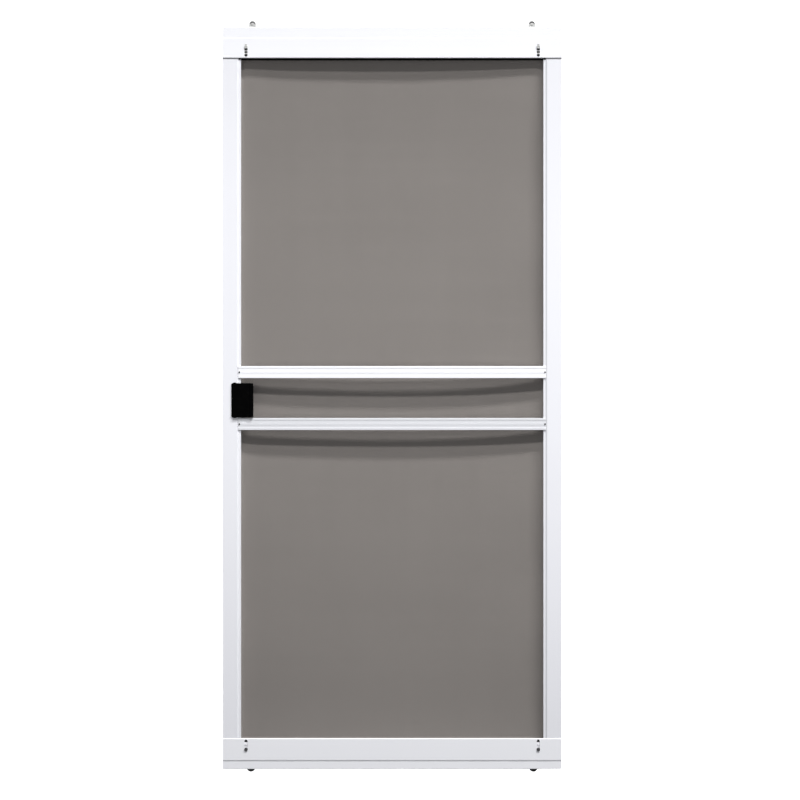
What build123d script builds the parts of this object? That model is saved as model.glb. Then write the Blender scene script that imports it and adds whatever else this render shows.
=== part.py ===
# Sliding screen door for a patio opening: roll-formed steel stiles, a channel rail slipped
# over each end, two flat crossbars, an insect screen held by rubber spline, a cup handle,
# and four adjustable rollers. X runs across the door, the front faces -Y and Z is up.
# The origin is the middle of the bottom rail's underside. Millimetres.
import os

from build123d import *

os.makedirs("parts", exist_ok=True)

# Door leaf, over the outer edges of the rails and stiles
door_width = 914.0
door_height = 2000.0

# Stiles: a tube along the outer edge, a gentle slope and a slightly lower ledge at the opening
stile_face = 39.1
stile_slope = 4.6
ledge_width = 5.5
stile_depth = 21.0
stile_sheet = 1.0
stile_bend = 1.6
ledge_setback = 1.2
ledge_thickness = 14.8

# Groove in the back of the ledge for the spline that holds the screen
groove_width = 4.6
groove_depth = 5.0
groove_lip = 1.8
spline_height = 4.2
spline_round = 1.6
screen_thickness = 0.8

# End rails: channels with a recessed band that enters the track
rail_sheet = 1.2
rail_fit = 0.3
rail_recess = 1.1
rail_bend = 1.5
rail_lip_return = 6.0
top_rail_height = 83.0
top_rail_band = 29.0
top_rail_lip = 1.2
bottom_rail_height = 82.5
bottom_rail_band = 23.0
bottom_rail_lip = 1.5
rail_back_height = 62.0
stile_end_gap = 2.0

# Inner rails behind the end rails, which carry the top and bottom of the screen
inner_rail_height = 24.0
inner_rail_cover = 3.0
inner_rail_front = 1.0
inner_rail_sheet = 1.0

# Crossbars over the screen, lying on the ledges of the stiles
bar_height = 32.3
bar_projection = 1.0
bar_depth = 6.0
bar_end_gap = 0.5
bar_sheet = 1.0
bar_bend = 0.7
bar_rim = 6.0
bar_recess = 0.3
bar_bead_width = 6.0
bar_bead = 0.2
bar_overlap = 7.2
lower_bar_z = 930.0
bar_spacing = 140.0

# Upright slot in the rail for each adjusting screw
slot_x = 63.0
slot_width = 8.0
slot_length = 33.5
slot_centre = 62.75

# Rollers: a wheel in a fork on a carrier that slides in the rail
wheel_width = 7.0
wheel_side_gap = 0.8
wheel_groove = 1.4
wheel_groove_width = 4.6
wheel_edge = 0.5
wheel_dish = 0.9
wheel_hub = 3.4
wheel_rim = 2.6
axle_radius = 2.0
axle_running_gap = 0.05
axle_head = 3.2
axle_head_height = 0.8
top_wheel_radius = 8.5
top_wheel_x = 80.0
top_wheel_reach = 17.5
bottom_wheel_radius = 12.0
bottom_wheel_x = 76.0
bottom_wheel_reach = 8.0
fork_width = 18.0
fork_sheet = 1.5
fork_tip = 3.6
fork_shoulder = 1.0
fork_depth = 35.0
shelf_depth = 46.0
top_plate_end = 72.5
bottom_plate_end = 72.5
top_plate_windows = 2
bottom_plate_windows = 0
plate_window_start = 57.2
plate_window_length = 4.3
plate_window_pitch = 7.8
plate_window_width = 9.0
carrier_side = 8.0
slide_gap = 0.3
wheel_opening_gap = 5.0
wheel_opening_width = 15.0
wheel_opening_corner = 4.0

# Adjusting screw, shouldered on the carrier and headed in front of the rail
screw_rest = 53.0
screw_head = 4.8
screw_head_height = 1.4
screw_shoulder = 3.2
screw_shank = 2.0
screw_tip = 2.5
screw_drive_width = 1.2
screw_drive_length = 5.6
screw_drive_depth = 0.8

# Handle set on the left stile, from the door's edge, and the latch behind it
handle_above_bar = 64.0
plate_edge = 23.4
plate_width = 18.2
plate_height = 96.0
plate_crown = 5.0
plate_corner = 2.0
plate_thickness = 2.0
pull_height = 92.0
pull_left = 26.0
pull_right = 82.7
pull_wall = 3.0
pull_slope = 1.5
pull_round = 2.4
pull_crease = 1.0
pull_bead_width = 9.0
pull_bead = 1.0
pull_hook = 8.5
pull_end_wall = 3.0
pull_end_gap = 1.0
pull_corner = 4.0
front_projection = 2.0
rear_projection = 12.0
latch_depth = 17.0
latch_width = 14.0
latch_height = 76.0
latch_slot_width = 6.0
latch_slot_height = 44.0
latch_slot_depth = 12.0
hook_thickness = 3.0
hook_height = 30.0
hook_notch = 9.0
hook_setback = 0.6

# Places worked out from the sizes above
half_width = door_width / 2
stile_width = stile_face + stile_slope + ledge_width
stile_front = -stile_depth / 2
stile_back = stile_depth / 2
ledge_front = stile_front + ledge_setback
ledge_back = ledge_front + ledge_thickness
rail_half = stile_depth / 2 + rail_fit + rail_sheet
opening_half = half_width - stile_width
stile_foot_z = bottom_rail_band + rail_recess + stile_end_gap
stile_head_z = door_height - top_rail_band - rail_recess - stile_end_gap
opening_low = bottom_rail_height - inner_rail_cover
opening_high = door_height - top_rail_height + inner_rail_cover
upper_bar_z = lower_bar_z + bar_spacing
handle_z = lower_bar_z + handle_above_bar
cheek_in = wheel_width / 2 + wheel_side_gap
cheek_out = cheek_in + fork_sheet
plate_front = -rail_half + rail_sheet + slide_gap


def across(side, inset):
    """X of a place that lies inset from the left (-1) or right (1) edge of the door."""
    return side * (half_width - inset)


def save(part, name):
    part.part.label = name
    export_step(part.part, f"parts/{name}.step")


# Stile: one roll-formed section, hollow along the outer edge, with the groove behind its ledge
def make_stile(side, name):
    tube_inner = stile_face - stile_sheet
    with BuildPart() as stile:
        with BuildSketch(Plane.XY.offset(stile_foot_z)):
            with BuildLine():
                Polyline(
                    (across(side, 0), stile_front),
                    (across(side, stile_face), stile_front),
                    (across(side, stile_face + stile_slope), ledge_front),
                    (across(side, stile_width), ledge_front),
                    (across(side, stile_width), ledge_back),
                    (across(side, stile_face), ledge_back),
                    (across(side, stile_face), stile_back),
                    (across(side, 0), stile_back),
                    close=True,
                )
            make_face()
            fillet(vertices(), stile_bend / 2)
            with Locations((across(side, stile_sheet + (tube_inner - stile_sheet) / 2), 0)):
                RectangleRounded(
                    tube_inner - stile_sheet,
                    stile_depth - 2 * stile_sheet,
                    stile_bend,
                    mode=Mode.SUBTRACT,
                )
            with Locations((across(side, stile_width - groove_lip - groove_width / 2), ledge_back)):
                Rectangle(groove_width, 2 * groove_depth, mode=Mode.SUBTRACT)
            fold_width = stile_width - stile_face - stile_sheet
            fold_low = ledge_front + stile_sheet
            fold_high = ledge_back - groove_depth - stile_sheet
            with Locations((across(side, stile_face + fold_width / 2), (fold_low + fold_high) / 2)):
                Rectangle(fold_width, fold_high - fold_low, mode=Mode.SUBTRACT)
        extrude(amount=stile_head_z - stile_foot_z)
        if side < 0:
            with BuildSketch(Plane.YZ.offset(across(side, 0))):
                with Locations((0, handle_z)):
                    Rectangle(latch_width, latch_height)
            extrude(amount=2 * stile_sheet, both=True, mode=Mode.SUBTRACT)
    save(stile, name)


# End rail: a bent channel over the ends of the stiles. Its band is narrower, its front edge
# is rolled back in a lip, and it has a slot for each adjusting screw and an opening for
# each wheel.
def make_end_rail(edge_z, out, height, band, lip, wheel_x, wheel_radius, name):
    band_half = rail_half - rail_recess
    side = Side.RIGHT if out > 0 else Side.LEFT

    def at(y, depth):
        return (y, edge_z - out * depth)

    with BuildPart() as rail:
        with BuildSketch(Plane.YZ.offset(-half_width)):
            with BuildLine():
                FilletPolyline(
                    at(-rail_half + rail_lip_return, height),
                    at(-rail_half, height),
                    at(-rail_half, band + rail_recess),
                    at(-band_half, band),
                    at(-band_half, 0),
                    at(band_half, 0),
                    at(band_half, band),
                    at(rail_half, band + rail_recess),
                    at(rail_half, rail_back_height),
                    radius=(lip, rail_sheet, rail_sheet, rail_bend, rail_bend, rail_sheet, rail_sheet),
                )
                offset(amount=rail_sheet, side=side)
            make_face()
        extrude(amount=door_width)
        with BuildSketch(Plane.XZ.offset(rail_half)):
            with Locations(*[(across(s, slot_x), edge_z - out * slot_centre) for s in (-1, 1)]):
                SlotOverall(slot_length, slot_width, rotation=90)
        extrude(amount=-2 * rail_sheet, mode=Mode.SUBTRACT)
        opening_length = 2 * (max(wheel_radius, fork_width / 2) + wheel_opening_gap)
        with BuildSketch(Plane.XY.offset(edge_z)):
            with Locations(*[(across(s, wheel_x), 0) for s in (-1, 1)]):
                RectangleRounded(opening_length, wheel_opening_width, wheel_opening_corner)
        extrude(amount=2 * rail_sheet, both=True, mode=Mode.SUBTRACT)
        notch = stile_width + rail_fit
        notch_y = -rail_half + rail_sheet + rail_lip_return / 2
        with Locations(*[(across(s, notch / 2), notch_y, edge_z - out * height) for s in (-1, 1)]):
            Box(notch, rail_lip_return, 2 * lip, mode=Mode.SUBTRACT)
    save(rail, name)


# Inner rail between the stiles: a small box whose lip and groove carry the screen's end
def make_inner_rail(lip_z, out, name):
    def at(y, depth):
        return (y, lip_z + out * depth)

    front = ledge_back - groove_depth - inner_rail_front
    box_height = inner_rail_height - ledge_width
    box_centre = (front + stile_back) / 2
    with BuildPart() as rail:
        with BuildSketch(Plane.YZ.offset(-opening_half)):
            with BuildLine():
                Polyline(
                    at(front, 0),
                    at(ledge_back, 0),
                    at(ledge_back, ledge_width),
                    at(stile_back, ledge_width),
                    at(stile_back, inner_rail_height),
                    at(front, inner_rail_height),
                    close=True,
                )
            make_face()
            with Locations(at(box_centre, ledge_width + box_height / 2)):
                Rectangle(
                    stile_back - front - 2 * inner_rail_sheet,
                    box_height - 2 * inner_rail_sheet,
                    mode=Mode.SUBTRACT,
                )
            with Locations(at(ledge_back, groove_lip + groove_width / 2)):
                Rectangle(2 * groove_depth, groove_width, mode=Mode.SUBTRACT)
        extrude(amount=2 * opening_half)
    save(rail, name)


# Crossbar: a shallow channel with rolled rims, a recessed panel and a bead along its middle.
# Its rims are cut away at both ends, where the panel lies over the ledges of the stiles.
def make_crossbar(bar_z, name):
    bar_front = stile_front - bar_projection
    bar_back = bar_front + bar_depth
    panel_back = bar_front + bar_recess + bar_sheet

    def skin(inset):
        front = bar_front + inset
        panel = front + bar_recess
        half = bar_height / 2 - inset
        rim = bar_height / 2 - bar_rim
        upper = [
            (bar_back, half),
            (front, half),
            (front, rim),
            (panel, rim - bar_recess),
            (panel, bar_bead_width / 2),
            (panel - bar_bead, bar_bead_width / 2 - bar_bead),
        ]
        lower = [(y, -z) for y, z in reversed(upper)]
        return [(y, bar_z + z) for y, z in upper + lower]

    with BuildPart() as bar:
        with BuildSketch(Plane.YZ.offset(-opening_half - bar_overlap)):
            with BuildLine():
                Polyline(*skin(0), *reversed(skin(bar_sheet)), close=True)
            make_face()
            fillet(vertices().group_by(Axis.X)[0], bar_bend)
        extrude(amount=2 * (opening_half + bar_overlap))
        cut_x = opening_half - bar_end_gap + bar_overlap
        cut_y = panel_back + bar_depth / 2
        with Locations((-cut_x, cut_y, bar_z), (cut_x, cut_y, bar_z)):
            Box(2 * bar_overlap, bar_depth, 2 * bar_height, mode=Mode.SUBTRACT)
    save(bar, name)


# Insect screen, stretched over the lips, and the spline that pins its edges in the grooves
def make_screen():
    width = 2 * (opening_half + groove_lip)
    low = opening_low - groove_lip
    high = opening_high + groove_lip
    with BuildPart() as screen:
        with BuildSketch(Plane.XZ.offset(-ledge_back)):
            with Locations((0, (low + high) / 2)):
                Rectangle(width, high - low)
        extrude(amount=-screen_thickness)
    save(screen, "insect_screen")


def make_splines():
    centre_y = ledge_back - groove_depth + spline_height / 2
    middle = groove_lip + groove_width / 2
    low = opening_low - groove_lip
    high = opening_high + groove_lip
    for side, name in ((-1, "left_spline"), (1, "right_spline")):
        with BuildPart() as upright:
            with BuildSketch(Plane.XY.offset(low)):
                with Locations((across(side, stile_width - middle), centre_y)):
                    RectangleRounded(groove_width, spline_height, spline_round)
            extrude(amount=high - low)
        save(upright, name)
    for z, name in ((opening_low - middle, "bottom_spline"), (opening_high + middle, "top_spline")):
        with BuildPart() as level:
            with BuildSketch(Plane.YZ.offset(-opening_half)):
                with Locations((centre_y, z)):
                    RectangleRounded(spline_height, groove_width, spline_round)
            extrude(amount=2 * opening_half)
        save(level, name)


# Roller: a fork with its axle and grooved wheel. The fork's carrier steps forward to a plate
# behind the rail's face, and the screw through the slot clamps it at the height that is set.
def make_roller(side, edge_z, out, wheel_x, wheel_radius, wheel_reach, plate_end, windows, place):
    centre_x = across(side, wheel_x)
    screw_x = across(side, slot_x)
    axle_depth = wheel_radius - wheel_reach
    axle_z = edge_z - out * axle_depth
    screw_z = edge_z - out * screw_rest
    outer_side = across(side, slot_x - carrier_side)
    inner_side = across(side, wheel_x + fork_width / 2)

    def level(depth):
        return edge_z - out * depth

    def slab(x_a, x_b, y_a, y_b, depth_a, depth_b):
        with Locations(((x_a + x_b) / 2, (y_a + y_b) / 2, (level(depth_a) + level(depth_b)) / 2)):
            Box(abs(x_b - x_a), abs(y_b - y_a), abs(depth_b - depth_a))

    fork_left = centre_x - fork_width / 2
    fork_right = centre_x + fork_width / 2
    with BuildPart() as carrier:
        for cheek_y in (-cheek_out, cheek_in):
            with BuildSketch(Plane.XZ.offset(-cheek_y)):
                with Locations((centre_x, (level(axle_depth + fork_shoulder) + level(fork_depth)) / 2)):
                    Rectangle(fork_width, fork_depth - axle_depth - fork_shoulder)
                with Locations((centre_x, axle_z)):
                    Circle(fork_tip)
                make_hull()
            extrude(amount=-fork_sheet)
        slab(fork_left, fork_right, -cheek_out, cheek_out, fork_depth - fork_sheet, fork_depth)
        slab(fork_left, fork_right, -cheek_out, -cheek_in, fork_depth - fork_sheet, shelf_depth)
        slab(fork_left, fork_right, plate_front, -cheek_in, shelf_depth - fork_sheet, shelf_depth)
        with BuildSketch(Plane.XZ.offset(-plate_front)):
            plate_middle = (level(shelf_depth - fork_sheet) + level(plate_end)) / 2
            with Locations(((outer_side + inner_side) / 2, plate_middle)):
                RectangleRounded(
                    abs(inner_side - outer_side), plate_end - shelf_depth + fork_sheet, fork_sheet
                )
            for window in range(windows):
                window_depth = plate_window_start + plate_window_length / 2 + window * plate_window_pitch
                with Locations((screw_x, level(window_depth))):
                    Rectangle(plate_window_width, plate_window_length, mode=Mode.SUBTRACT)
        extrude(amount=-fork_sheet)
        with BuildSketch(Plane.XZ.offset(cheek_out)):
            with Locations((centre_x, axle_z)):
                Circle(axle_radius)
        extrude(amount=-2 * cheek_out, mode=Mode.SUBTRACT)
        with BuildSketch(Plane.XZ.offset(-plate_front)):
            with Locations((screw_x, screw_z)):
                Circle(screw_shank)
        extrude(amount=-fork_sheet, mode=Mode.SUBTRACT)
    save(carrier, f"roller_carrier_{place}")

    with BuildPart() as axle:
        with BuildSketch(Plane.XZ.offset(cheek_out)):
            with Locations((centre_x, axle_z)):
                Circle(axle_radius)
        extrude(amount=-2 * cheek_out)
        for head_y in (-cheek_out - axle_head_height, cheek_out):
            with BuildSketch(Plane.XZ.offset(-head_y)):
                with Locations((centre_x, axle_z)):
                    Circle(axle_head)
            extrude(amount=-axle_head_height)
    save(axle, f"roller_axle_{place}")

    with BuildPart() as screw:
        head_y = -rail_half - slide_gap
        for radius, front_y, length in (
            (screw_head, head_y - screw_head_height, screw_head_height),
            (screw_shoulder, head_y, plate_front - head_y),
            (screw_shank, plate_front, fork_sheet + screw_tip),
        ):
            with BuildSketch(Plane.XZ.offset(-front_y)):
                with Locations((screw_x, screw_z)):
                    Circle(radius)
            extrude(amount=-length)
        fillet(screw.edges().filter_by(GeomType.CIRCLE).sort_by(Axis.Y)[0], screw_head_height / 2)
        with BuildSketch(Plane.XZ.offset(-head_y + screw_head_height)):
            with Locations((screw_x, screw_z)):
                Rectangle(screw_drive_length, screw_drive_width)
                Rectangle(screw_drive_width, screw_drive_length)
        extrude(amount=-screw_drive_depth, mode=Mode.SUBTRACT)
    save(screw, f"adjusting_screw_{place}")

    half = wheel_width / 2
    with BuildPart() as wheel:
        with BuildSketch(Plane.XY.move(Location((centre_x, 0, axle_z)))):
            with BuildLine():
                Polyline(
                    (wheel_radius, -wheel_groove_width / 2),
                    (wheel_radius, -half + wheel_edge),
                    (wheel_radius - wheel_edge, -half),
                    (wheel_radius - wheel_rim, -half),
                    (wheel_radius - wheel_rim, -half + wheel_dish),
                    (wheel_hub, -half + wheel_dish),
                    (wheel_hub, -half),
                    (axle_radius + axle_running_gap, -half),
                    (axle_radius + axle_running_gap, half),
                    (wheel_hub, half),
                    (wheel_hub, half - wheel_dish),
                    (wheel_radius - wheel_rim, half - wheel_dish),
                    (wheel_radius - wheel_rim, half),
                    (wheel_radius - wheel_edge, half),
                    (wheel_radius, half - wheel_edge),
                    (wheel_radius, wheel_groove_width / 2),
                )
                ThreePointArc(
                    (wheel_radius, wheel_groove_width / 2),
                    (wheel_radius - wheel_groove, 0),
                    (wheel_radius, -wheel_groove_width / 2),
                )
            make_face()
        revolve(axis=Axis((centre_x, 0, axle_z), (0, 1, 0)))
    save(wheel, f"roller_wheel_{place}")


# Handle plate with arched ends, and on it a cup pull whose free edge is a rolled grip.
# face is -1 on the front and 1 on the back of the stile.
def make_handle(face, projection, prefix):
    stile_y = face * stile_depth / 2
    plate_y = stile_y + face * plate_thickness
    left = across(-1, plate_edge)
    right = across(-1, plate_edge + plate_width)
    shoulder = plate_height / 2 - plate_crown
    with BuildPart() as plate:
        with BuildSketch(Plane.XZ.offset(-stile_y)):
            with BuildLine():
                Line((left, handle_z - shoulder), (left, handle_z + shoulder))
                ThreePointArc(
                    (left, handle_z + shoulder),
                    ((left + right) / 2, handle_z + plate_height / 2),
                    (right, handle_z + shoulder),
                )
                Line((right, handle_z + shoulder), (right, handle_z - shoulder))
                ThreePointArc(
                    (right, handle_z - shoulder),
                    ((left + right) / 2, handle_z - plate_height / 2),
                    (left, handle_z - shoulder),
                )
            make_face()
            fillet(vertices(), plate_corner)
        extrude(amount=-face * plate_thickness)
    save(plate, f"{prefix}_handle_plate")

    face_y = plate_y + face * projection
    bead_y = face_y + face * pull_bead
    skin_y = face_y - face * pull_wall
    hook_y = face_y - face * pull_hook
    root = across(-1, pull_left)
    tip = across(-1, pull_right)
    seat = across(-1, plate_edge + plate_width)
    tip_inner = tip - pull_wall
    grip_corners = (pull_bead / 2, pull_bead / 2, pull_round, pull_crease, pull_crease)
    pull_corners = (0.0, pull_round, *grip_corners, pull_crease, pull_crease, 0.0)
    with BuildPart() as pull:
        with BuildSketch(Plane.XY.offset(handle_z - pull_height / 2)):
            with BuildLine():
                FilletPolyline(
                    (root, plate_y),
                    (root + pull_slope, face_y),
                    (tip - pull_bead_width - pull_bead, face_y),
                    (tip - pull_bead_width, bead_y),
                    (tip, bead_y),
                    (tip, hook_y),
                    (tip_inner, hook_y),
                    (tip_inner, skin_y),
                    (seat, skin_y),
                    (seat, plate_y),
                    close=True,
                    radius=pull_corners,
                )
            make_face()
        extrude(amount=pull_height)
        wall_start = across(-1, stile_width + pull_end_gap)
        wall_x = (wall_start + tip_inner) / 2
        wall_y = (skin_y + hook_y) / 2
        wall_rise = (pull_height - pull_end_wall) / 2
        with Locations(*[(wall_x, wall_y, handle_z + up * wall_rise) for up in (-1, 1)]):
            Box(tip_inner - wall_start, abs(hook_y - skin_y), pull_end_wall)
        with BuildSketch(Plane.XZ.offset(-bead_y)):
            with Locations(((root + tip) / 2, handle_z)):
                Rectangle(tip - root, pull_height)
            fillet(vertices().group_by(Axis.X)[-1], pull_corner)
        extrude(amount=2 * (pull_hook + pull_bead), both=True, mode=Mode.INTERSECT)
    save(pull, f"{prefix}_handle_pull")


# Latch: a case let into the edge of the left stile, with the hook drawn back in its slot
def make_latch():
    edge = across(-1, 0)
    with BuildPart() as case:
        with BuildSketch(Plane.YZ.offset(edge)):
            with Locations((0, handle_z)):
                Rectangle(latch_width, latch_height)
        extrude(amount=latch_depth)
        with BuildSketch(Plane.YZ.offset(edge)):
            with Locations((0, handle_z)):
                SlotOverall(latch_slot_height, latch_slot_width, rotation=90)
        extrude(amount=latch_slot_depth, mode=Mode.SUBTRACT)
    save(case, "latch_case")

    back = edge + latch_slot_depth
    nose = edge + hook_setback
    low = handle_z - hook_height / 2
    high = handle_z + hook_height / 2
    with BuildPart() as hook:
        with BuildSketch(Plane.XZ.offset(hook_thickness / 2)):
            with BuildLine():
                Line((back, low), (back, high - hook_notch))
                Line((back, high - hook_notch), (nose + hook_notch / 2, high - hook_notch))
                Line((nose + hook_notch / 2, high - hook_notch), (nose + hook_notch / 2, high))
                Line((nose + hook_notch / 2, high), (nose, high))
                Line((nose, high), (nose, handle_z))
                RadiusArc((nose, handle_z), (nose + hook_notch / 2, low), hook_height)
                Line((nose + hook_notch / 2, low), (back, low))
            make_face()
        extrude(amount=-hook_thickness)
    save(hook, "latch_hook")


make_stile(-1, "left_stile")
make_stile(1, "right_stile")
make_end_rail(
    door_height,
    1,
    top_rail_height,
    top_rail_band,
    top_rail_lip,
    top_wheel_x,
    top_wheel_radius,
    "top_rail",
)
make_end_rail(
    0,
    -1,
    bottom_rail_height,
    bottom_rail_band,
    bottom_rail_lip,
    bottom_wheel_x,
    bottom_wheel_radius,
    "bottom_rail",
)
make_inner_rail(opening_high, 1, "head_rail")
make_inner_rail(opening_low, -1, "foot_rail")
make_crossbar(upper_bar_z, "upper_crossbar")
make_crossbar(lower_bar_z, "lower_crossbar")
make_screen()
make_splines()
for side, hand in ((-1, "left"), (1, "right")):
    make_roller(
        side,
        door_height,
        1,
        top_wheel_x,
        top_wheel_radius,
        top_wheel_reach,
        top_plate_end,
        top_plate_windows,
        f"top_{hand}",
    )
    make_roller(
        side,
        0,
        -1,
        bottom_wheel_x,
        bottom_wheel_radius,
        bottom_wheel_reach,
        bottom_plate_end,
        bottom_plate_windows,
        f"bottom_{hand}",
    )
make_handle(-1, front_projection, "front")
make_handle(1, rear_projection, "rear")
make_latch()
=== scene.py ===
import math
import random

import bmesh
import bpy
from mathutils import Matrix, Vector


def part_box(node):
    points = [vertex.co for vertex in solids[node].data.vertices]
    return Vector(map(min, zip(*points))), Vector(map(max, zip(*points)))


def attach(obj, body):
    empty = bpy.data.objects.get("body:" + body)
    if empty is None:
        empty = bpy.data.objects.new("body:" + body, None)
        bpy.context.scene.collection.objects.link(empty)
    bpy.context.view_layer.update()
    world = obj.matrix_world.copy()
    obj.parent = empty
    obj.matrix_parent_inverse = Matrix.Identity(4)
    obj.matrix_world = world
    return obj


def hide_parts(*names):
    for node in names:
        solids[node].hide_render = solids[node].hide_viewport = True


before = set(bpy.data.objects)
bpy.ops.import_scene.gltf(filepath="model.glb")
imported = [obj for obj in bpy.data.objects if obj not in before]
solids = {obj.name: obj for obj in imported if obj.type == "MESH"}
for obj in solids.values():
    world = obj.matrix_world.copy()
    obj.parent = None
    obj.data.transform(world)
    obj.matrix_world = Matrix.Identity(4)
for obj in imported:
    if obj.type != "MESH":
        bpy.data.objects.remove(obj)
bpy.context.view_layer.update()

# The stiles. Each is one length of steel strip, rolled into a tube with a slightly lower ledge at
# the opening, and coated with a white baked enamel. That has a faint orange peel and cloudy dull
# patches. A painted shade darkens a fold of the right stile, and a painted shadow lies close
# under the top rail.
stile_white = (0.850, 0.853, 0.893)
# Near-black of the painted shade inside the rails and the crossbars.
inside_shade_black = (0.010, 0.010, 0.011)
enamel_roughness = 0.34
enamel_glossiest = 0.30
enamel_dullest = 0.42
enamel_gloss_patch = 0.05
enamel_cloud = 0.30
enamel_clouded_share = 0.985
orange_peel_size = 0.0022
orange_peel_height = 0.00005
# Grey of the painted shade in the right stile's fold and of the painted shadow under the top rail.
painted_shade_grey = (0.10, 0.10, 0.105)
fold_inset = 0.0415
fold_reach = 0.0028
fold_painted_shade = 0.32
seam_reach = 0.0036
seam_fade = 0.0008
seam_painted_shadow = 0.62
painted_shade_depth = 0.0025


def new_finish(name, roughness, metallic=0.0, shine=0.5):
    """A material with its node tree and its shader."""
    material = bpy.data.materials.new(name)
    material.use_nodes = True
    shader = material.node_tree.nodes["Principled BSDF"]
    shader.inputs["Roughness"].default_value = roughness
    shader.inputs["Metallic"].default_value = metallic
    shader.inputs["Specular IOR Level"].default_value = shine
    return material, material.node_tree, shader


def add_node(tree, kind, **settings):
    node = tree.nodes.new(kind)
    for setting, value in settings.items():
        setattr(node, setting, value)
    return node


def place_in_metres(tree):
    """Each point's place on the part, in metres, since every piece has its origin at the part's."""
    return add_node(tree, "ShaderNodeTexCoord").outputs["Object"]


def split_axes(tree, place):
    axes = add_node(tree, "ShaderNodeSeparateXYZ")
    tree.links.new(place, axes.inputs["Vector"])
    return axes.outputs


def speckle(tree, place, size, detail=2.0, stretch=(1.0, 1.0, 1.0)):
    """A cloud texture with blotches about size metres across, made longer where stretch is small."""
    mapping = add_node(tree, "ShaderNodeMapping")
    mapping.inputs["Scale"].default_value = stretch
    noise = add_node(tree, "ShaderNodeTexNoise")
    noise.inputs["Scale"].default_value = 1.0 / size
    noise.inputs["Detail"].default_value = detail
    tree.links.new(place, mapping.inputs["Vector"])
    tree.links.new(mapping.outputs["Vector"], noise.inputs["Vector"])
    return noise.outputs["Fac"]


def spread(tree, value, low, high, start=0.3, stop=0.7):
    """Spreads a value that runs from start to stop over the range from low to high."""
    node = add_node(tree, "ShaderNodeMapRange")
    node.inputs["From Min"].default_value = start
    node.inputs["From Max"].default_value = stop
    node.inputs["To Min"].default_value = low
    node.inputs["To Max"].default_value = high
    tree.links.new(value, node.inputs["Value"])
    return node.outputs["Result"]


def calculate(tree, operation, first, second=None):
    node = add_node(tree, "ShaderNodeMath", operation=operation)
    for socket, value in zip(node.inputs, (first, second)):
        if value is None:
            continue
        if isinstance(value, float):
            socket.default_value = value
        else:
            tree.links.new(value, socket)
    return node.outputs["Value"]


def join_colour(tree, socket, colour):
    if isinstance(colour, tuple):
        socket.default_value = (*colour, 1.0)
    else:
        tree.links.new(colour, socket)


def blend_colours(tree, share, first, second):
    node = add_node(tree, "ShaderNodeMix", data_type="RGBA")
    tree.links.new(share, node.inputs["Factor"])
    join_colour(tree, node.inputs["A"], first)
    join_colour(tree, node.inputs["B"], second)
    return node.outputs["Result"]


def roughen(tree, shader, height, depth):
    bump = add_node(tree, "ShaderNodeBump")
    bump.inputs["Distance"].default_value = depth
    tree.links.new(height, bump.inputs["Height"])
    tree.links.new(bump.outputs["Normal"], shader.inputs["Normal"])


def coat(material, *names):
    for name in names:
        solids[name].data.materials.clear()
        solids[name].data.materials.append(material)


def enamelled(name, white, shaded_inside=None, painted_shade_share=None):
    """White enamel. The third argument, if given, is 1 where the strip is painted near-black as painted
    shade, and the fourth gives the share of painted shade on it; each is called with (tree, place)."""
    material, tree, shader = new_finish(name, enamel_roughness)
    place = place_in_metres(tree)
    clouds = spread(tree, speckle(tree, place, enamel_cloud, detail=4.0), 0.0, 1.0)
    clouded = tuple(enamel_clouded_share * part for part in white)
    colour = blend_colours(tree, clouds, white, clouded)
    if painted_shade_share:
        colour = blend_colours(tree, painted_shade_share(tree, place), colour, painted_shade_grey)
    if shaded_inside:
        colour = blend_colours(tree, shaded_inside(tree, place), colour, inside_shade_black)
    tree.links.new(colour, shader.inputs["Base Color"])
    patches = speckle(tree, place, enamel_gloss_patch, detail=3.0)
    gloss = spread(tree, patches, enamel_glossiest, enamel_dullest)
    tree.links.new(gloss, shader.inputs["Roughness"])
    roughen(tree, shader, speckle(tree, place, orange_peel_size, detail=1.0), orange_peel_height)
    return material


def painted_shade_on_the_stiles(tree, place):
    """Painted shade on the front only, along the fold, and a painted shadow close under the rail's edge.
    """
    axes = split_axes(tree, place)
    fold_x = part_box("right_stile")[1].x - fold_inset
    rail_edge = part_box("top_rail")[0].z
    off_fold = calculate(tree, "ABSOLUTE", calculate(tree, "SUBTRACT", axes["X"], fold_x))
    in_fold = spread(tree, off_fold, fold_painted_shade, 0.0, start=0.0, stop=fold_reach)
    seam_start = rail_edge - seam_reach
    seam_full = seam_start + seam_fade
    below_rail = spread(tree, axes["Z"], 0.0, seam_painted_shadow, start=seam_start, stop=seam_full)
    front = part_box("right_stile")[0].y + painted_shade_depth
    on_front = calculate(tree, "LESS_THAN", axes["Y"], front)
    return calculate(tree, "MULTIPLY", calculate(tree, "MAXIMUM", in_fold, below_rail), on_front)


coat(enamelled("stile_enamel", stile_white, painted_shade_share=painted_shade_on_the_stiles), "left_stile", "right_stile")

# The inner rails. Two boxes rolled from the same strip join the stiles inside the end rails and
# carry the ends of the screen. They are white towards the back, and their front is painted
# near-black, a painted shade for the dark seen through the rails' slots.
shaded_until_y = 0.0052


def towards_the_front(tree, place):
    return calculate(tree, "LESS_THAN", split_axes(tree, place)["Y"], shaded_until_y)


coat(enamelled("inner_rail_enamel", stile_white, towards_the_front), "head_rail", "foot_rail")

# The insect screen. A plain weave of glass-fibre yarn in a grey vinyl coat, stretched over the
# ledges from the back with its edges turned down into the grooves. It bellies a few millimetres
# backwards, and thicker yarns give it a faint plaid. Its gaps are painted near-black as painted
# shade, its slow swells carry painted light and shade, and its left side has a painted shade.
yarn_pitch = 0.00145
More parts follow.
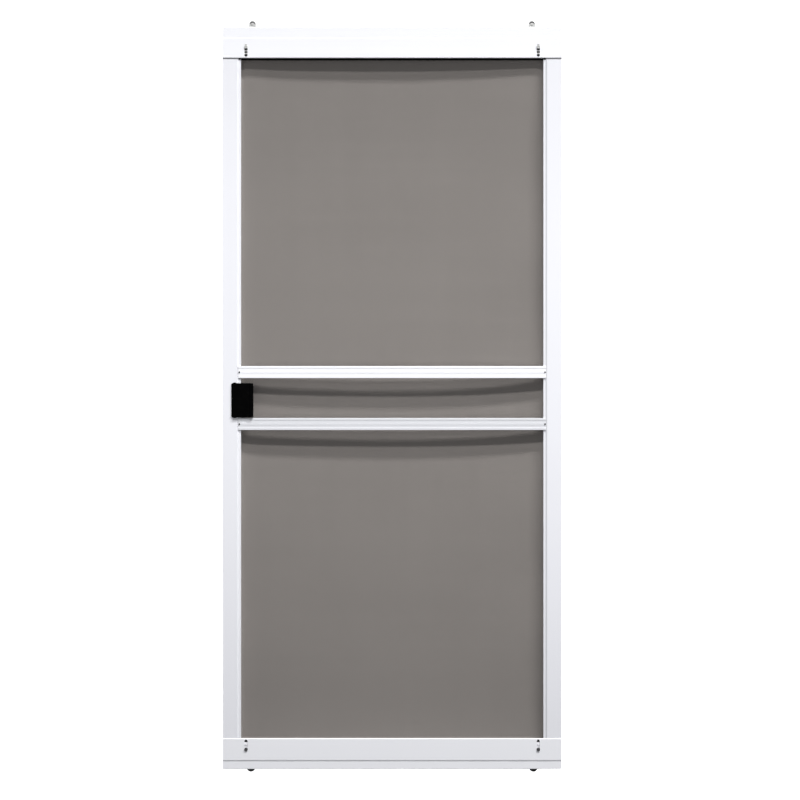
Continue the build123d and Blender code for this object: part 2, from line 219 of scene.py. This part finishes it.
# The gaps between the yarns are painted near-black, a painted shade in the openings.
yarn_colour = (0.2645, 0.2425, 0.2258)
yarn_gap_shade = (0.030, 0.028, 0.026)
yarn_height = 0.00020
yarn_crossing_rise = 0.22
yarn_edge = 0.55
yarn_crown = 0.80
plaid_pitch = 0.0081
plaid_depth = 0.011
plaid_patch = 0.020
upright_streak = 0.028
level_streak = 0.024
streak_slimness = 0.03
streak_shade = 0.018
screen_belly = 0.00766
belly_bluntness_left = 0.38
belly_bluntness_gain = 0.57
belly_end_power = 6
screen_pucker = 0.0036
screen_pucker_reach = 0.15
pucker_power_left = 4.0
pucker_power_right = 1.6
screen_hold = 0.02
screen_tuck = 0.0016
swell_rate = 33.0
swell_start = 15.6
swell_share = 0.185
swell_painted_shade = 0.036
handle_side_painted_shade = 0.034
screen_columns = 90
screen_rows = 190
tuck_width = 0.0004

screen_low, screen_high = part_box("insect_screen")
screen_width = screen_high.x - screen_low.x
screen_height = screen_high.z - screen_low.z


def belly(across, up):
    """Depth of the screen behind its edges, at shares of its width and height."""
    sideways = (4 * across * (1 - across)) ** (belly_bluntness_left + belly_bluntness_gain * across)
    upwards = 1 - abs(2 * up - 1) ** belly_end_power
    slow_wave = 1 + swell_share * math.sin(swell_rate * up - swell_start) * upwards
    off_middle = 2 * across - 1
    corner = abs(off_middle) ** (pucker_power_right if off_middle > 0 else pucker_power_left)
    near_top = math.exp(-(((1 - up) * screen_height / screen_pucker_reach) ** 2))
    from_side = min(1.0, min(across, 1 - across) * screen_width / screen_hold)
    return screen_belly * sideways * upwards * slow_wave - screen_pucker * corner * near_top * from_side


def shares(count, first_step):
    """Shares from 0 to 1 whose first and last steps are narrow."""
    inner = [first_step + (1 - 2 * first_step) * i / (count - 2) for i in range(count - 1)]
    return [0.0, *inner, 1.0]


cloth = bmesh.new()
lines = []
for up in shares(screen_rows, tuck_width / screen_height):
    line = []
    for across in shares(screen_columns, tuck_width / screen_width):
        on_rim = up in (0.0, 1.0) or across in (0.0, 1.0)
        depth = -screen_tuck if on_rim else belly(across, up)
        x = screen_low.x + across * screen_width
        z = screen_low.z + up * screen_height
        line.append(cloth.verts.new((x, screen_low.y + depth, z)))
    lines.append(line)
for lower, upper in zip(lines, lines[1:]):
    for i in range(len(lower) - 1):
        cloth.faces.new((lower[i], lower[i + 1], upper[i + 1], upper[i])).smooth = True


def make_piece(name, shape, material):
    """Turns a bmesh into a piece of the scene."""
    data = bpy.data.meshes.new(name)
    shape.to_mesh(data)
    shape.free()
    data.materials.append(material)
    piece = bpy.data.objects.new(name, data)
    bpy.context.scene.collection.objects.link(piece)
    return piece


def wave(tree, distance, pitch, kind="SINE"):
    return calculate(tree, kind, calculate(tree, "MULTIPLY", distance, math.tau / pitch))


weave, tree, shader = new_finish("vinyl_coated_weave", roughness=0.60, shine=0.3)
place = place_in_metres(tree)
axes = split_axes(tree, place)
upright = calculate(tree, "ABSOLUTE", wave(tree, axes["X"], 2 * yarn_pitch))
level = calculate(tree, "ABSOLUTE", wave(tree, axes["Z"], 2 * yarn_pitch))
over_and_under = calculate(
    tree,
    "MULTIPLY",
    wave(tree, axes["X"], 2 * yarn_pitch, "COSINE"),
    wave(tree, axes["Z"], 2 * yarn_pitch, "COSINE"),
)
rise = calculate(tree, "MULTIPLY", over_and_under, yarn_crossing_rise)
weave_height = calculate(
    tree, "MAXIMUM", calculate(tree, "ADD", upright, rise), calculate(tree, "SUBTRACT", level, rise)
)
covered = spread(tree, weave_height, 0.0, 1.0, start=yarn_edge, stop=yarn_crown)
patches = spread(tree, speckle(tree, place, plaid_patch, detail=1.0), 0.0, 1.0, start=0.42, stop=0.62)
plaid = calculate(tree, "ADD", wave(tree, axes["X"], plaid_pitch), wave(tree, axes["Z"], plaid_pitch))
streaks = calculate(
    tree,
    "ADD",
    speckle(tree, place, upright_streak, stretch=(1.0, 1.0, streak_slimness)),
    speckle(tree, place, level_streak, stretch=(streak_slimness, 1.0, 1.0)),
)
lightness = calculate(
    tree,
    "ADD",
    spread(tree, streaks, 1 - streak_shade, 1 + streak_shade, start=0.7, stop=1.3),
    calculate(tree, "MULTIPLY", calculate(tree, "MULTIPLY", plaid, patches), plaid_depth),
)
# Painted light and shade: darker where the slow swells face up towards the lamps, lighter where they face
# down.
swell_angle = calculate(
    tree,
    "SUBTRACT",
    calculate(tree, "MULTIPLY", axes["Z"], swell_rate / screen_height),
    swell_start + swell_rate * screen_low.z / screen_height,
)
swell = calculate(tree, "MULTIPLY", calculate(tree, "COSINE", swell_angle), swell_painted_shade)
# Painted shade along the left side, fading out towards the middle.
handle_side = spread(tree, axes["X"], handle_side_painted_shade, 0.0, start=screen_low.x, stop=0.0)
lightness = calculate(tree, "SUBTRACT", lightness, calculate(tree, "ADD", swell, handle_side))
shade = add_node(tree, "ShaderNodeHueSaturation")
tree.links.new(blend_colours(tree, covered, yarn_gap_shade, yarn_colour), shade.inputs["Color"])
tree.links.new(lightness, shade.inputs["Value"])
tree.links.new(shade.outputs["Color"], shader.inputs["Base Color"])
roughen(tree, shader, weave_height, yarn_height)

screen = make_piece("insect_mesh", cloth, weave)
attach(screen, "frame")
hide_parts("insect_screen")

# The spline. A soft black rubber cord, rolled into the grooves over the screen's edges. It is
# ribbed along its length so that it grips.
rubber_black = (0.022, 0.022, 0.023)
rubber_bloom = (0.045, 0.044, 0.043)
rubber_bloom_patch = 0.02
rib_pitch = 0.0011
rib_height = 0.0002

rubber, tree, shader = new_finish("ribbed_rubber", roughness=0.72)
place = place_in_metres(tree)
axes = split_axes(tree, place)
bloom = spread(tree, speckle(tree, place, rubber_bloom_patch, detail=4.0), 0.0, 1.0)
tree.links.new(blend_colours(tree, bloom, rubber_black, rubber_bloom), shader.inputs["Base Color"])
ribs = calculate(tree, "ADD", wave(tree, axes["X"], rib_pitch), wave(tree, axes["Z"], rib_pitch))
roughen(tree, shader, ribs, rib_height)
coat(rubber, "left_spline", "right_spline", "top_spline", "bottom_spline")

# The shadow strip. A narrow strip of near-black pile lies behind the top rail's edge, in front
# of the screen and on over the stiles' ledges. It is a dark piece put where the gap under the rail
# lies in shade, a painted shadow that shows as a thin dark line, with an uneven edge of cut pile.
pile_drop = 0.0046
pile_depth = 0.0030
pile_gap = 0.0003
pile_clearance = 0.0030
pile_unevenness = 0.0005
pile_columns = 420
pile_seed = 11
ledge_width = 0.0060
ledge_setback = 0.0012
ledge_pile_depth = 0.0009
ledge_pile_drop = 0.0042
ledge_pile_columns = 8
# Near-black of the strip that stands in for the shade under the rail.
tuft_root_black = (0.001, 0.001, 0.001)
tuft_tip_black = (0.006, 0.006, 0.006)
tuft_size = 0.0006
tuft_slimness = 0.2
tuft_height = 0.0004

head_low, head_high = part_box("head_rail")
draw = random.Random(pile_seed)
pile = bmesh.new()


def lay_pile(start, stop, find_back, depth, foot_z, top_z, columns):
    """A length of pile along the door, whose lower edge is cut unevenly."""
    sections = []
    for i in range(columns + 1):
        x = start + (stop - start) * i / columns
        back = find_back(x)
        foot = foot_z + draw.uniform(-pile_unevenness, pile_unevenness)
        front = back - depth + draw.uniform(-pile_unevenness, pile_unevenness) / 2
        outline = ((front, top_z), (front, foot), (back, foot), (back, top_z))
        sections.append([pile.verts.new((x, y, z)) for y, z in outline])
    for left, right in zip(sections, sections[1:]):
        for i in range(4):
            j = (i + 1) % 4
            pile.faces.new((left[i], left[j], right[j], right[i]))
    pile.faces.new(sections[0])
    pile.faces.new(sections[-1])


pile_foot = head_low.z - pile_clearance - pile_drop


def front_of_screen(x):
    """How far back the pile may reach at x without touching the screen."""
    across = min(max((x - screen_low.x) / screen_width, 0.0), 1.0)
    up = (pile_foot - screen_low.z) / screen_height
    return screen_low.y + min(belly(across, up), 0.0) - pile_gap


lay_pile(
    head_low.x,
    head_high.x,
    front_of_screen,
    pile_depth - pile_gap,
    pile_foot,
    head_low.z,
    pile_columns,
)
rail_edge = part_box("top_rail")[0].z
for stile, side in (("left_stile", 1), ("right_stile", -1)):
    low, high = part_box(stile)
    inner = high.x if side > 0 else low.x
    start, stop = sorted((inner, inner - side * ledge_width))
    lay_pile(
        start,
        stop,
        lambda x: low.y + ledge_setback,
        ledge_pile_depth,
        rail_edge - ledge_pile_drop,
        rail_edge,
        ledge_pile_columns,
    )
bmesh.ops.recalc_face_normals(pile, faces=pile.faces)

pile_black, tree, shader = new_finish("shadow_black_pile", roughness=0.95, shine=0.05)
place = place_in_metres(tree)
tufts = spread(tree, speckle(tree, place, tuft_size, stretch=(1.0, 1.0, tuft_slimness)), 0.0, 1.0)
tree.links.new(blend_colours(tree, tufts, tuft_root_black, tuft_tip_black), shader.inputs["Base Color"])
roughen(tree, shader, tufts, tuft_height)
strip = make_piece("shadow_strip", pile, pile_black)
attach(strip, "frame")

# The end rails. Wide channels bent from thicker strip and slipped over the ends of the stiles,
# each with a recessed band that enters the track and a lip rolled back along the opening. They
# are whiter than the stiles, and inside they are painted near-black, a painted shade for the dark
# seen through the slots.
rail_white = (0.935, 0.938, 0.972)
mid_height = (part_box("bottom_rail")[0].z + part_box("top_rail")[1].z) / 2
shade_half_depth = 0.0103
shade_start = 0.9180
shade_stop = 0.9986


def inside_the_rail(tree, place):
    """The near-black painted shade shows between two distances from mid height, within the rail's walls.
    """
    axes = split_axes(tree, place)
    within = calculate(tree, "LESS_THAN", calculate(tree, "ABSOLUTE", axes["Y"]), shade_half_depth)
    from_middle = calculate(tree, "ABSOLUTE", calculate(tree, "SUBTRACT", axes["Z"], mid_height))
    short_of_end = calculate(tree, "LESS_THAN", from_middle, shade_stop)
    past_lip = calculate(tree, "GREATER_THAN", from_middle, shade_start)
    return calculate(tree, "MULTIPLY", within, calculate(tree, "MULTIPLY", short_of_end, past_lip))


coat(enamelled("rail_enamel", rail_white, inside_the_rail), "top_rail", "bottom_rail")

# The crossbars. Two shallow rolled channels in front of the screen, laid on the ledges of the
# stiles and held at each end by one small dark screw. They are lit and shaded copies of one
# enamel, the upper one painted lighter and the lower one darker, and inside each is painted
# near-black as painted shade.
upper_bar_lit_white = (0.915, 0.918, 0.955)
lower_bar_shaded_white = (0.725, 0.732, 0.765)
bar_screw_radius = 0.0022
bar_screw_height = 0.0011
bar_screw_inset = 0.0029
bar_skin = 0.0008
black_oxide = (0.030, 0.030, 0.032)
black_oxide_worn = (0.085, 0.083, 0.080)
oxide_wear = 0.0012
oxide_grain = 0.0006
oxide_grain_height = 0.00002


def inside_the_bar(low, high):
    """Makes a mask of what lies behind the bar's front and between its flanges."""
    middle = (low.z + high.z) / 2
    half = (high.z - low.z) / 2

    def mask(tree, place):
        axes = split_axes(tree, place)
        from_middle = calculate(tree, "ABSOLUTE", calculate(tree, "SUBTRACT", axes["Z"], middle))
        return calculate(
            tree,
            "MULTIPLY",
            calculate(tree, "GREATER_THAN", axes["Y"], low.y + bar_skin),
            calculate(tree, "LESS_THAN", from_middle, half - bar_skin),
        )

    return mask


for bar, white in (("upper_crossbar", upper_bar_lit_white), ("lower_crossbar", lower_bar_shaded_white)):
    coat(enamelled(bar + "_enamel", white, inside_the_bar(*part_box(bar))), bar)
oxide, tree, shader = new_finish("black_oxide_steel", roughness=0.45, metallic=0.7)
place = place_in_metres(tree)
worn = spread(tree, speckle(tree, place, oxide_wear, detail=3.0), 0.0, 1.0, start=0.45, stop=0.75)
tree.links.new(blend_colours(tree, worn, black_oxide, black_oxide_worn), shader.inputs["Base Color"])
roughen(tree, shader, speckle(tree, place, oxide_grain), oxide_grain_height)


def pan_head(name, seat, facing, radius, height, material):
    """A domed screw head with a cross recess, seated at a point and facing along a vector."""
    sectors = 40
    rings = 9
    arm = 0.16 * radius
    reach = 0.62 * radius
    recess = 0.45 * height
    head = bmesh.new()
    centre = head.verts.new((0, 0, height - recess))
    circles = []
    for ring in range(1, rings + 1):
        share = ring / rings
        circle = []
        for sector in range(sectors):
            angle = math.tau * sector / sectors
            x = radius * share * math.cos(angle)
            y = radius * share * math.sin(angle)
            dome = height * math.sqrt(1 - share ** 4)
            in_cross = min(abs(x), abs(y)) < arm and math.hypot(x, y) < reach
            circle.append(head.verts.new((x, y, dome - (recess if in_cross else 0))))
        circles.append(circle)
    for i in range(sectors):
        j = (i + 1) % sectors
        head.faces.new((centre, circles[0][i], circles[0][j]))
        for inner, outer in zip(circles, circles[1:]):
            head.faces.new((inner[i], outer[i], outer[j], inner[j]))
    head.faces.new(circles[-1])
    bmesh.ops.recalc_face_normals(head, faces=head.faces)
    turn = Vector(facing).to_track_quat("Z", "Y").to_matrix()
    bmesh.ops.rotate(head, verts=head.verts, cent=(0, 0, 0), matrix=turn)
    bmesh.ops.translate(head, verts=head.verts, vec=seat)
    piece = make_piece(name, head, material)
    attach(piece, "frame")


for bar in ("upper_crossbar", "lower_crossbar"):
    low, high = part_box(bar)
    for hand, x in (("left", low.x + bar_screw_inset), ("right", high.x - bar_screw_inset)):
        seat = Vector((x, low.y, (low.z + high.z) / 2))
        pan_head(f"{bar}_screw_{hand}", seat, (0, -1, 0), bar_screw_radius, bar_screw_height, oxide)

# The rollers. A pressed, zinc-plated carrier holds each nylon wheel on a riveted axle, and a
# shouldered screw clamps it behind the slot. The top wheels are grey and the bottom ones black,
# with tarnished screws and carriers that have a rib pressed out in each slot. The bottom carriers
# are painted a near-white zinc, a painted light on the plates seen in the slots.
zinc_bright = (0.70, 0.70, 0.685)
zinc_dull = (0.55, 0.55, 0.54)
screw_bright = (0.72, 0.72, 0.71)
screw_tarnished = (0.150, 0.150, 0.152)
screw_tarnished_dark = (0.075, 0.075, 0.078)
# Painted light: the bottom carriers, axles and ribs are a near-white zinc, lighter than their plating.
painted_light_zinc_bright = (0.93, 0.93, 0.96)
painted_light_zinc_dull = (0.84, 0.84, 0.88)
plate_cloud = 0.004
plate_gloss_patch = 0.002
plate_glossiest = 0.32
plate_dullest = 0.50
plate_grain = 0.0008
plate_grain_height = 0.00002
wheel_grey = (0.130, 0.130, 0.132)
wheel_grey_scuffed = (0.190, 0.190, 0.188)
wheel_black = (0.0035, 0.0035, 0.0040)
wheel_black_scuffed = (0.012, 0.012, 0.011)
wheel_scuff = 0.003
wheel_gloss_patch = 0.0015
wheel_glossiest = 0.38
wheel_dullest = 0.60
wheel_grain = 0.0005
wheel_grain_height = 0.00003
rib_rise = 0.0133
rib_half_length = 0.0032
rib_half_height = 0.0016
rib_proud = 0.0011


def plated(name, bright, dull, metallic):
    material, tree, shader = new_finish(name, roughness=0.38, metallic=metallic)
    place = place_in_metres(tree)
    clouds = spread(tree, speckle(tree, place, plate_cloud, detail=5.0), 0.0, 1.0)
    tree.links.new(blend_colours(tree, clouds, bright, dull), shader.inputs["Base Color"])
    patches = speckle(tree, place, plate_gloss_patch, detail=3.0)
    gloss = spread(tree, patches, plate_glossiest, plate_dullest)
    tree.links.new(gloss, shader.inputs["Roughness"])
    roughen(tree, shader, speckle(tree, place, plate_grain), plate_grain_height)
    return material


def nylon(name, colour, scuffed):
    material, tree, shader = new_finish(name, roughness=0.5)
    place = place_in_metres(tree)
    scuffs = spread(tree, speckle(tree, place, wheel_scuff, detail=4.0), 0.0, 1.0, start=0.45, stop=0.75)
    tree.links.new(blend_colours(tree, scuffs, colour, scuffed), shader.inputs["Base Color"])
    gloss = spread(tree, speckle(tree, place, wheel_gloss_patch), wheel_glossiest, wheel_dullest)
    tree.links.new(gloss, shader.inputs["Roughness"])
    roughen(tree, shader, speckle(tree, place, wheel_grain), wheel_grain_height)
    return material


zinc = plated("zinc_plate", zinc_bright, zinc_dull, metallic=0.2)
bright_zinc = plated("bright_screw_zinc", screw_bright, zinc_bright, metallic=0.35)
tarnished_zinc = plated("tarnished_screw_zinc", screw_tarnished, screw_tarnished_dark, metallic=0.5)
painted_light_zinc = plated("painted_light_zinc_plate", painted_light_zinc_bright, painted_light_zinc_dull, metallic=0.0)
grey_nylon = nylon("grey_nylon", wheel_grey, wheel_grey_scuffed)
black_nylon = nylon("black_nylon", wheel_black, wheel_black_scuffed)
for hand in ("left", "right"):
    for end, plate_zinc, wheel_nylon, screw_finish in (
        ("top", zinc, grey_nylon, bright_zinc),
        ("bottom", painted_light_zinc, black_nylon, tarnished_zinc),
    ):
        coat(plate_zinc, f"roller_carrier_{end}_{hand}", f"roller_axle_{end}_{hand}")
        coat(screw_finish, f"adjusting_screw_{end}_{hand}")
        coat(wheel_nylon, f"roller_wheel_{end}_{hand}")


def pressed_rib(name, body, seat, material):
    """A low oval swelling that faces the front."""
    sectors = 32
    rings = 8
    rib = bmesh.new()
    centre = rib.verts.new((seat.x, seat.y - rib_proud, seat.z))
    circles = []
    for ring in range(1, rings + 1):
        share = ring / rings
        proud = rib_proud * math.sqrt(1 - share ** 2)
        circle = []
        for sector in range(sectors):
            angle = math.tau * sector / sectors
            x = seat.x + rib_half_length * share * math.cos(angle)
            z = seat.z + rib_half_height * share * math.sin(angle)
            circle.append(rib.verts.new((x, seat.y - proud, z)))
        circles.append(circle)
    for i in range(sectors):
        j = (i + 1) % sectors
        rib.faces.new((centre, circles[0][i], circles[0][j])).smooth = True
        for inner, outer in zip(circles, circles[1:]):
            rib.faces.new((inner[i], outer[i], outer[j], inner[j])).smooth = True
    rib.faces.new(circles[-1])
    bmesh.ops.recalc_face_normals(rib, faces=rib.faces)
    piece = make_piece(name, rib, material)
    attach(piece, body)


for hand in ("left", "right"):
    screw_low, screw_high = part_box(f"adjusting_screw_bottom_{hand}")
    plate_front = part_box(f"roller_carrier_bottom_{hand}")[0].y
    middle = (screw_low + screw_high) / 2
    seat = Vector((middle.x, plate_front, middle.z + rib_rise))
    pressed_rib(f"carrier_rib_{hand}", f"carrier_bottom_{hand}", seat, painted_light_zinc)

# The rail screws. Behind, one pan-head screw at each corner holds the end rail to the stile
# inside it. They are zinc plated like the carriers.
rail_screw_radius = 0.0034
rail_screw_height = 0.0016
rail_screw_inset = 0.0195
rail_screw_from_end = {"top": 0.0455, "bottom": 0.0425}

for end, from_end in rail_screw_from_end.items():
    low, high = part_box(f"{end}_rail")
    z = high.z - from_end if end == "top" else low.z + from_end
    for hand, x in (("left", low.x + rail_screw_inset), ("right", high.x - rail_screw_inset)):
        seat = Vector((x, high.y, z))
        pan_head(f"rail_screw_{end}_{hand}", seat, (0, 1, 0), rail_screw_radius, rail_screw_height, zinc)

# The handle set. Cup pulls moulded in black nylon with a fine grain stand on a plate on each
# side of the left stile, and two machine screws in the rear one draw them together. The latch
# between them is a zinc-plated case let into the door's edge and held by two small screws.
handle_black = (0.0010, 0.0010, 0.0011)
handle_black_rubbed = (0.0022, 0.0021, 0.0021)
handle_rub = 0.012
handle_gloss_patch = 0.02
handle_glossiest = 0.42
handle_dullest = 0.58
handle_grain = 0.0007
handle_grain_height = 0.00006
handle_screw_radius = 0.0032
handle_screw_height = 0.0014
handle_screw_rise = 0.036
handle_screw_inset = 0.0085
latch_screw_radius = 0.0030
latch_screw_height = 0.0008
latch_screw_rise = 0.0300
grip_bead_height = 0.001

moulded, tree, shader = new_finish("grained_black_nylon", roughness=0.5, shine=0.02)
place = place_in_metres(tree)
rubbed = spread(tree, speckle(tree, place, handle_rub, detail=4.0), 0.0, 1.0, start=0.5, stop=0.8)
tree.links.new(blend_colours(tree, rubbed, handle_black, handle_black_rubbed), shader.inputs["Base Color"])
patches = speckle(tree, place, handle_gloss_patch, detail=3.0)
gloss = spread(tree, patches, handle_glossiest, handle_dullest)
tree.links.new(gloss, shader.inputs["Roughness"])
roughen(tree, shader, speckle(tree, place, handle_grain), handle_grain_height)
coat(moulded, "front_handle_plate", "front_handle_pull", "rear_handle_plate", "rear_handle_pull")
coat(zinc, "latch_case", "latch_hook")
low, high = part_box("rear_handle_pull")
case_low, case_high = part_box("latch_case")
handle_middle = (low.z + high.z) / 2
for word, up in (("upper", 1), ("lower", -1)):
    z = handle_middle + up * handle_screw_rise
    seat = Vector((low.x + handle_screw_inset, high.y - grip_bead_height, z))
    pan_head(f"handle_screw_{word}", seat, (0, 1, 0), handle_screw_radius, handle_screw_height, oxide)
    seat = Vector((case_low.x, (case_low.y + case_high.y) / 2, handle_middle + up * latch_screw_rise))
    pan_head(f"latch_screw_{word}", seat, (-1, 0, 0), latch_screw_radius, latch_screw_height, bright_zinc)

# The studio. A round white floor that sweeps up into a wall all round, a small lamp high in
# front, a long one high on the right, a soft one behind, and an even fill from all round. The
# camera stands straight in front of the door at about half its height.
floor_z = -0.0085
sweep_radius = 14.0
sweep_top = 7.0
sweep_bend = 1.2
sweep_steps = 16
sweep_sectors = 96
sweep_glow = 0.80
paper_white = (0.95, 0.95, 0.95)
paper_shade = (0.93, 0.93, 0.93)
paper_cloud = 0.4

profile = []
for step in range(sweep_steps + 1):
    angle = math.pi / 2 * step / sweep_steps
    radius = sweep_radius - sweep_bend + sweep_bend * math.sin(angle)
    profile.append((radius, floor_z + sweep_bend - sweep_bend * math.cos(angle)))
profile.append((sweep_radius, sweep_top))
paper = bmesh.new()
circles = []
for radius, z in profile:
    circle = []
    for sector in range(sweep_sectors):
        turn = math.tau * sector / sweep_sectors
        circle.append(paper.verts.new((radius * math.cos(turn), radius * math.sin(turn), z)))
    circles.append(circle)
paper.faces.new(circles[0])
for inner, outer in zip(circles, circles[1:]):
    for i in range(sweep_sectors):
        j = (i + 1) % sweep_sectors
        paper.faces.new((inner[i], inner[j], outer[j], outer[i])).smooth = True
bmesh.ops.recalc_face_normals(paper, faces=paper.faces)
white_paper, tree, shader = new_finish("white_paper", roughness=0.9)
place = place_in_metres(tree)
clouds = spread(tree, speckle(tree, place, paper_cloud), 0.0, 1.0)
tree.links.new(blend_colours(tree, clouds, paper_shade, paper_white), shader.inputs["Base Color"])
shader.inputs["Emission Color"].default_value = (1.0, 1.0, 1.0, 1.0)
shader.inputs["Emission Strength"].default_value = sweep_glow
sweep = make_piece("studio_sweep", paper, white_paper)
sweep.visible_diffuse = False
sweep.visible_glossy = False

door_middle = Vector((0.0, 0.0, 1.0))
front_lamp_way = Vector((0.0, -1.0, 1.96))
front_lamp_distance = 12.0
front_lamp_lift = Vector((0.0, 0.0, 0.13))
front_lamp_radius = 0.4
front_lamp_cone = 6.2
front_lamp_breadth = 10.0
front_lamp_power = 5225.0
front_lamp = bpy.data.lights.new("front_lamp", "SPOT")
front_lamp.shadow_soft_size = front_lamp_radius
front_lamp.spot_size = math.radians(front_lamp_cone)
front_lamp.spot_blend = 1.0
front_lamp.energy = front_lamp_power
front_holder = bpy.data.objects.new("front_lamp", front_lamp)
front_holder.location = door_middle + front_lamp_lift + front_lamp_distance * front_lamp_way.normalized()
front_holder.rotation_euler = (math.atan2(-front_lamp_way.y, front_lamp_way.z), 0.0, 0.0)
front_holder.scale = (front_lamp_breadth, 1.0, 1.0)
bpy.context.scene.collection.objects.link(front_holder)

right_lamp_way = Vector((1.5, -1.0, 3.4))
right_lamp_reach = 3.0
right_lamp_width = 7.2
right_lamp_size = 0.6
right_lamp_power = 2000.0
right_lamp = bpy.data.lights.new("right_lamp", "AREA")
right_lamp.shape = "RECTANGLE"
right_lamp.size = right_lamp_width
right_lamp.size_y = right_lamp_size
right_lamp.energy = right_lamp_power
right_holder = bpy.data.objects.new("right_lamp", right_lamp)
right_holder.location = door_middle + right_lamp_reach * right_lamp_way
right_holder.rotation_euler = (math.atan2(-right_lamp_way.y, right_lamp_way.z), 0.0, 0.0)
bpy.context.scene.collection.objects.link(right_holder)

back_lamp_way = Vector((-0.5, 1.0, 0.55))
back_lamp_reach = 6.0
back_lamp_size = 3.5
back_lamp_power = 340.0
back_lamp = bpy.data.lights.new("back_lamp", "AREA")
back_lamp.size = back_lamp_size
back_lamp.energy = back_lamp_power
back_holder = bpy.data.objects.new("back_lamp", back_lamp)
back_holder.location = door_middle + back_lamp_reach * back_lamp_way
back_holder.rotation_euler = (-back_lamp_way).to_track_quat("-Z", "Y").to_euler()
bpy.context.scene.collection.objects.link(back_holder)

fill_colour = (0.97, 0.98, 1.0, 1.0)
fill_strength = 0.36
world = bpy.data.worlds.new("even_fill")
world.use_nodes = True
fill = world.node_tree.nodes["Background"]
fill.inputs["Color"].default_value = fill_colour
fill.inputs["Strength"].default_value = fill_strength
bpy.context.scene.world = world
bpy.context.scene.view_settings.view_transform = "Standard"

picture_size = 800
door_width = 0.914
door_width_pixels = 339.1
door_middle_pixel = 392.15
rail_foot_pixel = 769.1
metres_per_pixel = door_width / door_width_pixels
camera_distance = 7.0
door_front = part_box("top_rail")[0].y
sensor_width = 36.0
camera_sight = 60.0
camera_data = bpy.data.cameras.new("straight_on")
camera_data.sensor_width = sensor_width
camera_data.lens = sensor_width * camera_distance / (picture_size * metres_per_pixel)
camera_data.clip_end = camera_sight
camera = bpy.data.objects.new("straight_on", camera_data)
camera.location = (
    (picture_size / 2 - door_middle_pixel) * metres_per_pixel,
    door_front - camera_distance,
    (rail_foot_pixel - picture_size / 2) * metres_per_pixel,
)
camera.rotation_euler = (math.pi / 2, 0.0, 0.0)
bpy.context.scene.collection.objects.link(camera)
bpy.context.scene.camera = camera
